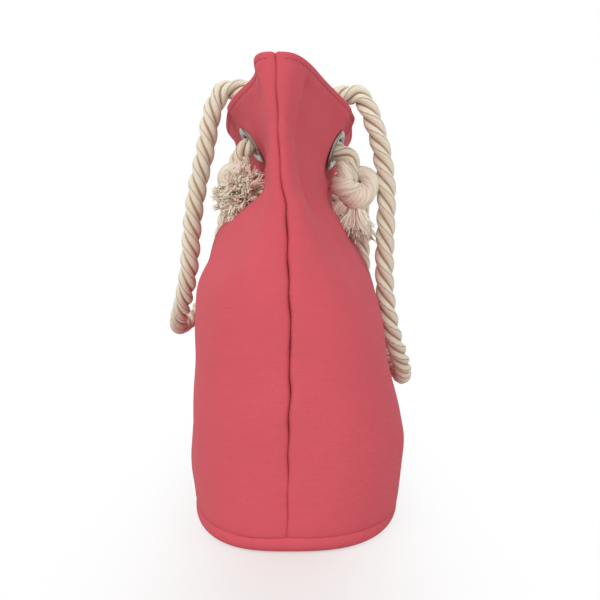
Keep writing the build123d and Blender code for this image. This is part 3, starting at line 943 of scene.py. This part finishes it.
def make_fray(side, hand):
    """The rope's end beyond the knot, opened into its yarns."""
    name = f"{SIDES[side]}_{HANDS[hand]}"
    tuft = tufts[side]
    mirror = np.array([hand, 1, 1])
    root = np.array(knot_place(side, hand, knot_route[side][-1])) + mirror * tuft["root"]
    core = np.array(tuft["core"])
    points, faces, uv = [], [], []
    tuft_core(points, faces, uv, root - np.array([0, 0, tuft["core_drop"]]), core)
    axis = unit(mirror * tuft["axis"])
    side_one = unit(np.cross(axis, [0.1, 0.9, 0.3]))
    side_two = np.cross(axis, side_one)
    for _ in range(tuft["clumps"]):
        angle = rng.uniform(0, 2 * math.pi)
        lean = tuft["spread"] * math.sqrt(rng.random())
        curl = unit(scatter()) * tuft["curl"]
        if side == FRONT:
            heading = unit(scatter())
            clump_root = root + heading * core * 0.9
        else:
            radial = math.cos(angle) * side_one + math.sin(angle) * side_two
            heading = unit(axis + radial * lean)
            clump_root = root + radial * min(1, 0.3 + lean) * 0.0075 - axis * 0.004
        length = tuft["longest"] * rng.uniform(0.65, 1.1)
        beat = rng.uniform(0.8, 1.6)
        for _ in range(yarns_per_clump):
            way = unit(heading + 0.10 * scatter())
            bend = curl + 0.25 * tuft["curl"] * scatter()
            crimp = unit(np.cross(way, bend)) * rng.uniform(0.1, 0.35)
            path = [clump_root + 0.0011 * scatter()]
            for step in range(yarn_steps):
                t = step / yarn_steps
                sway = crimp * math.cos(beat * 2 * math.pi * t + angle)
                way = unit(way + 0.2 * bend * t + yarn_droop)
                path.append(path[-1] + unit(way + sway) * length / yarn_steps)
            yarn(points, faces, uv, np.array(path), rng.uniform(0.0009, 0.0013))
    fray = mesh_object(f"frayed_yarns_{name}", np.concatenate(points), faces, fray_cotton,
                       np.concatenate(uv))
    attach(fray, "bag")
    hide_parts(f"frayed_end_{name}")
    return fray


def make_handle(side):
    """One rope from knot to knot, with its knots and frayed ends."""
    word = SIDES[side]
    right = [(eyelet_x, y, z) for y, z in tucks[side]]
    left = [(-x, y, z) for x, y, z in reversed(right)]
    pivot = pivots[side]
    loop = [pivot + Vector((x, side * out, up)) for x, out, up in loops[side]]
    far_pivot = Vector((-pivot.x, pivot.y, pivot.z))
    route = right + [pivot] + loop + [far_pivot] + left
    line, length = route_line(route, 0.002)
    rope = laid_rope(f"{word}_rope", line, length, rope_cotton)
    pieces = [make(side, hand) for hand in HANDS for make in (make_knot, make_fray)]
    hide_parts(f"{word}_handle_rope",
                *[f"tucked_rope_{word}_{hand}" for hand in HANDS.values()])
    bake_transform(rope)


for side in SIDES:
    make_handle(side)

# ---------------------------------------------------------------- carried-over CAD nodes


def dress(names, material):
    for name in names:
        node = frame["nodes"][name]
        node.data.materials.clear()
        node.data.materials.append(material)


corner_names = [f"{side}_{hand}" for side in SIDES.values() for hand in HANDS.values()]
dress([f"eyelet_{name}" for name in corner_names], plated_metal)
dress([f"washer_{name}" for name in corner_names], plated_metal)
dress(["base_seam_binding"], tape_cloth)

# ---------------------------------------------------------------- camera, light and floor


def plain_floor():
    mesh = bpy.data.meshes.new("floor")
    size = 6
    mesh.from_pydata([(-size, -size, 0), (size, -size, 0), (size, size, 0), (-size, size, 0)],
                     [], [(0, 1, 2, 3)])
    floor = bpy.data.objects.new("floor", mesh)
    bpy.context.scene.collection.objects.link(floor)
    material = bpy.data.materials.new("floor")
    material.use_nodes = True
    tree = material.node_tree
    output = tree.nodes["Material Output"]
    diffuse = tree.nodes.new("ShaderNodeBsdfDiffuse")
    # darker and pinker than white paper: painted shade that the camera sees in the band along the
    # bag
    diffuse.inputs["Color"].default_value = (0.80, 0.76, 0.75, 1)
    glow = tree.nodes.new("ShaderNodeEmission")
    rays = tree.nodes.new("ShaderNodeLightPath")
    mix = tree.nodes.new("ShaderNodeMixShader")
    # white paper, burnt out but for a soft band along the bag, where real shadow shows over a
    # darker, pinkish diffuse colour that is painted shade
    place = tree.nodes.new("ShaderNodeTexCoord")
    axes = tree.nodes.new("ShaderNodeSeparateXYZ")
    tree.links.new(place.outputs["Object"], axes.inputs["Vector"])

    def step(operation, first, second):
        node = tree.nodes.new("ShaderNodeMath")
        node.operation = operation
        for socket, value in zip(node.inputs, (first, second)):
            if isinstance(value, (int, float)):
                socket.default_value = value
            else:
                tree.links.new(value, socket)
        return node.outputs["Value"]

    off = step("DIVIDE", step("ADD", axes.outputs["Y"], 0.007), 0.085)
    painted_shade_band = step("POWER", math.e, step("MULTIPLY", step("MULTIPLY", off, off), -1))
    white = step("SUBTRACT", 1, step("MULTIPLY", painted_shade_band, 0.60))
    share = step("MULTIPLY", rays.outputs["Is Camera Ray"], white)
    tree.links.new(share, mix.inputs["Fac"])
    tree.links.new(diffuse.outputs["BSDF"], mix.inputs[1])
    tree.links.new(glow.outputs["Emission"], mix.inputs[2])
    tree.links.new(mix.outputs["Shader"], output.inputs["Surface"])
    mesh.materials.append(material)


def studio_world():
    world = bpy.data.worlds.new("studio")
    bpy.context.scene.world = world
    world.use_nodes = True
    tree = world.node_tree
    background = tree.nodes["Background"]
    rays = tree.nodes.new("ShaderNodeLightPath")
    seen = None
    for ray in ("Is Camera Ray", "Is Glossy Ray", "Is Transmission Ray"):
        if seen is None:
            seen = rays.outputs[ray]
            continue
        both = tree.nodes.new("ShaderNodeMath")
        both.operation = "MAXIMUM"
        tree.links.new(seen, both.inputs[0])
        tree.links.new(rays.outputs[ray], both.inputs[1])
        seen = both.outputs["Value"]
    strength = tree.nodes.new("ShaderNodeMapRange")
    strength.inputs["To Min"].default_value = 0.62
    strength.inputs["To Max"].default_value = 1.0
    tree.links.new(seen, strength.inputs["Value"])
    tree.links.new(strength.outputs["Result"], background.inputs["Strength"])
    background.inputs["Color"].default_value = (1, 1, 1, 1)


def soft_lamp(name, place, target, size, power):
    light = bpy.data.lights.new(name, "AREA")
    light.energy = power
    light.size = size
    lamp = bpy.data.objects.new(name, light)
    lamp.location = place
    lamp.rotation_euler = (Vector(target) - Vector(place)).to_track_quat("-Z", "Y").to_euler()
    bpy.context.scene.collection.objects.link(lamp)


plain_floor()
studio_world()
middle = (0, 0, 0.2)
soft_lamp("key", (1.6, -0.9, 1.5), middle, 1.6, 26)
soft_lamp("fill", (1.4, 1.5, 0.9), middle, 1.8, 9)

camera_data = bpy.data.cameras.new("camera")
camera_data.lens = 36
camera_data.sensor_width = 36
camera = bpy.data.objects.new("camera", camera_data)
camera.location = (0.6596, 0.003, 0.193)
camera.rotation_euler = (math.radians(90), 0, math.radians(90))
bpy.context.scene.collection.objects.link(camera)
bpy.context.scene.camera = camera
bpy.context.scene.view_settings.view_transform = "Standard"
